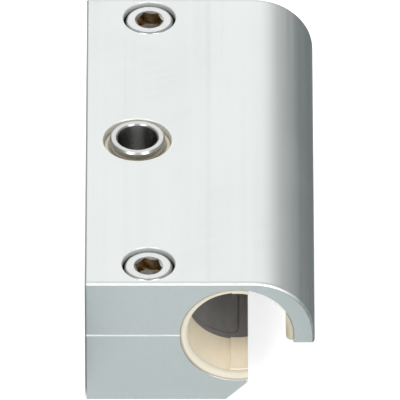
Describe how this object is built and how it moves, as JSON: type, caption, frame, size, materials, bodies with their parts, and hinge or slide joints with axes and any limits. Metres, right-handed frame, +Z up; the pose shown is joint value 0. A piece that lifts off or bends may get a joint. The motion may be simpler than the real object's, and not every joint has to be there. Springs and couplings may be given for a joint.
{
  "type": "hybrid roller bearing",
  "caption": "Split aluminium bearing block that hooks over a round rail shaft, with sliding polymer liners at both ends and a side roller on its mounting bush.",
  "frame": {"origin": "on the shaft axis at the middle of the block's length", "axes": "+X towards the hooked lip, +Y along the shaft, +Z up to the mounting face"},
  "size_m": [0.0473, 0.0974, 0.0312],
  "materials": {
    "anodised_aluminium": "fine satin, clear anodised",
    "cream_polymer": "smooth moulded",
    "dark_polymer": "smooth moulded",
    "tyre_polymer": "turned, fine matt",
    "polished_steel": "polished",
    "bearing_steel": "ground and lapped",
    "screw_steel": "bright, machined"
  },
  "bodies": {
    "housing": {"upper_housing": "anodised_aluminium", "lower_housing": "anodised_aluminium", "front_liner": "cream_polymer", "rear_liner": "cream_polymer", "front_lip_pad": "cream_polymer", "rear_lip_pad": "cream_polymer", "centre_sleeve": "dark_polymer", "axle_bush": "polished_steel", "upper_bush_sleeve": "cream_polymer", "lower_bush_sleeve": "cream_polymer", "bearing_inner_ring": "bearing_steel", "front_clamp_screw": "screw_steel", "rear_clamp_screw": "screw_steel"},
    "roller": {"roller_tyre": "tyre_polymer", "bearing_outer_ring": "bearing_steel"},
    "ball_set": {"bearing_cage": "cream_polymer", "bearing_ball_01": "bearing_steel", "bearing_ball_02": "bearing_steel", "bearing_ball_03": "bearing_steel", "bearing_ball_04": "bearing_steel", "bearing_ball_05": "bearing_steel", "bearing_ball_06": "bearing_steel", "bearing_ball_07": "bearing_steel", "bearing_ball_08": "bearing_steel", "bearing_ball_09": "bearing_steel", "bearing_ball_10": "bearing_steel"}
  },
  "joints": [
    {"name": "roller_spin", "type": "hinge", "parent": "housing", "child": "roller", "pos_m": [-0.0206, 0, 0], "axis": [0, 0, 1], "continuous": true},
    {"name": "ball_set_spin", "type": "hinge", "parent": "housing", "child": "ball_set", "pos_m": [-0.0206, 0, 0], "axis": [0, 0, 1], "continuous": true}
  ],
  "couplings": [
    {"joint": "ball_set_spin", "follows": "roller_spin", "ratio": 0.57483}
  ]
}
